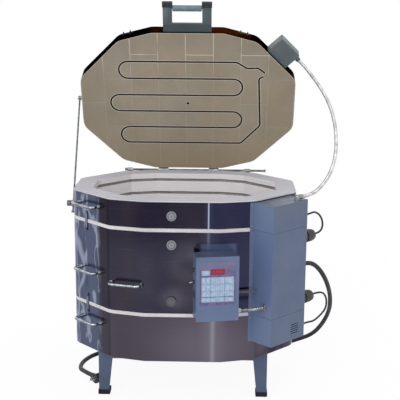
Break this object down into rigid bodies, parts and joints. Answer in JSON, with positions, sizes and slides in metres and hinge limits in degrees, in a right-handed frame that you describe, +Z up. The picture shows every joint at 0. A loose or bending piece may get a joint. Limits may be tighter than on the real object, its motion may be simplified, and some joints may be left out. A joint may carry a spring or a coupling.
{
  "type": "electric kiln",
  "caption": "Oval top-loading electric kiln in stacked brick rings with steel jackets, a hinged propped lid, electric boxes, a controller and a low legged stand.",
  "frame": {"origin": "on the floor under the centre of the kiln's oval body", "axes": "+X along the long side towards the electric boxes' end, +Y towards the lid's hinge at the back, +Z up"},
  "size_m": [1.1243, 0.8222, 1.5798],
  "materials": {
    "jacket": "polished stainless sheet",
    "brick": "matt insulating firebrick",
    "lid_brick": "matt, browned by firing",
    "plug_ceramic": "matt refractory",
    "porcelain": "glazed",
    "element": "oxidised resistance wire",
    "paint": "satin blue-grey paint",
    "stand": "satin blue-grey paint",
    "zinc": "zinc plate",
    "chrome": "bright plate",
    "conduit": "spiral-wound strip",
    "cord_rubber": "matt black jacket",
    "foot_rubber": "matt",
    "black_plastic": "moulded",
    "cap_plastic": "moulded blue-green",
    "overlay": "printed membrane",
    "window": "clear red filter",
    "board": "circuit board"
  },
  "bodies": {
    "kiln": {"bottom_jacket": "jacket", "middle_jacket": "jacket", "top_jacket": "jacket", "floor_slab": "brick", "bottom_ring_bricks": "brick", "middle_ring_bricks": "brick", "top_ring_bricks": "brick", "element_bushings": "porcelain", "bottom_elements": "element", "middle_elements": "element", "top_elements": "element", "top_electric_box": "paint", "middle_electric_box": "paint", "bottom_electric_box": "paint", "controller_box": "paint", "controller_panel": "paint", "base_pan": "stand", "stand_frame": "stand", "legs": "stand", "hinge_rod": "zinc", "hinge_ears": "zinc", "brace_bracket": "zinc", "ring_straps": "zinc", "cord_fittings": "zinc", "screws": "zinc", "element_terminals": "zinc", "thermocouple": "zinc", "controller_brackets": "zinc", "front_handle": "chrome", "end_handles": "chrome", "lid_conduit": "conduit", "controller_conduit": "conduit", "main_cord": "cord_rubber", "main_plug": "cord_rubber", "top_jumper_cord": "cord_rubber", "bottom_jumper_cord": "cord_rubber", "jumper_plugs": "cord_rubber", "rubber_feet": "foot_rubber", "receptacles": "black_plastic", "relays": "black_plastic", "switch_housings": "black_plastic", "keypad_overlay": "overlay", "display_window": "window", "controller_board": "board"},
    "lid": {"lid_slab": "lid_brick", "lid_band": "jacket", "lid_element": "element", "lid_brackets": "zinc", "lid_handle_frame": "paint", "lid_handle_grip": "cap_plastic", "lid_handle_caps": "cap_plastic", "lid_terminal_box": "paint"},
    "brace_rod": {"brace_rod": "zinc"},
    "brace_swivel": {"brace_swivel": "zinc"},
    "brace_knob": {"brace_knob": "zinc"},
    "top_peephole_plug": {"top_peephole_plug": "plug_ceramic"},
    "middle_peephole_plug": {"middle_peephole_plug": "plug_ceramic"},
    "lower_peephole_plug": {"lower_peephole_plug": "plug_ceramic"},
    "toggle_lever": {"toggle_lever": "chrome"},
    "rocker": {"rocker": "black_plastic"}
  },
  "joints": [
    {"name": "lid_hinge", "type": "hinge", "parent": "kiln", "child": "lid", "pos_m": [0, 0.336, 0.8362], "axis": [1, 0, 0], "range_deg": [0, 68.4], "deforming": ["lid_conduit"]},
    {"name": "brace_pivot", "type": "hinge", "parent": "lid", "child": "brace_rod", "pos_m": [-0.468, 0.24022, 1.16503], "axis": [1, 0, 0], "range_deg": [-34.2, 0]},
    {"name": "brace_swivel_turn", "type": "hinge", "parent": "kiln", "child": "brace_swivel", "pos_m": [-0.468, 0.00371, 0.7532], "axis": [1, 0, 0], "range_deg": [0, 34.2]},
    {"name": "brace_knob_turn", "type": "hinge", "parent": "brace_swivel", "child": "brace_knob", "pos_m": [-0.468, 0.00371, 0.7532], "axis": [1, 0, 0], "range_deg": [0, 270]},
    {"name": "top_peephole_plug_slide", "type": "slide", "parent": "kiln", "child": "top_peephole_plug", "axis": [0, -1, 0], "range_m": [0, 0.09]},
    {"name": "middle_peephole_plug_slide", "type": "slide", "parent": "kiln", "child": "middle_peephole_plug", "axis": [0, -1, 0], "range_m": [0, 0.09]},
    {"name": "lower_peephole_plug_slide", "type": "slide", "parent": "kiln", "child": "lower_peephole_plug", "axis": [0, -1, 0], "range_m": [0, 0.09]},
    {"name": "toggle_throw", "type": "hinge", "parent": "kiln", "child": "toggle_lever", "pos_m": [0.04744, -0.38905, 0.5412], "axis": [-0.1908, 0.9816, 0], "range_deg": [0, 28]},
    {"name": "rocker_throw", "type": "hinge", "parent": "kiln", "child": "rocker", "pos_m": [0.05038, -0.38848, 0.4922], "axis": [-0.1908, 0.9816, 0], "range_deg": [-18, 0]}
  ],
  "couplings": [
    {"joint": "brace_pivot", "follows": "lid_hinge", "ratio": -0.5},
    {"joint": "brace_swivel_turn", "follows": "lid_hinge", "ratio": 0.5}
  ]
}
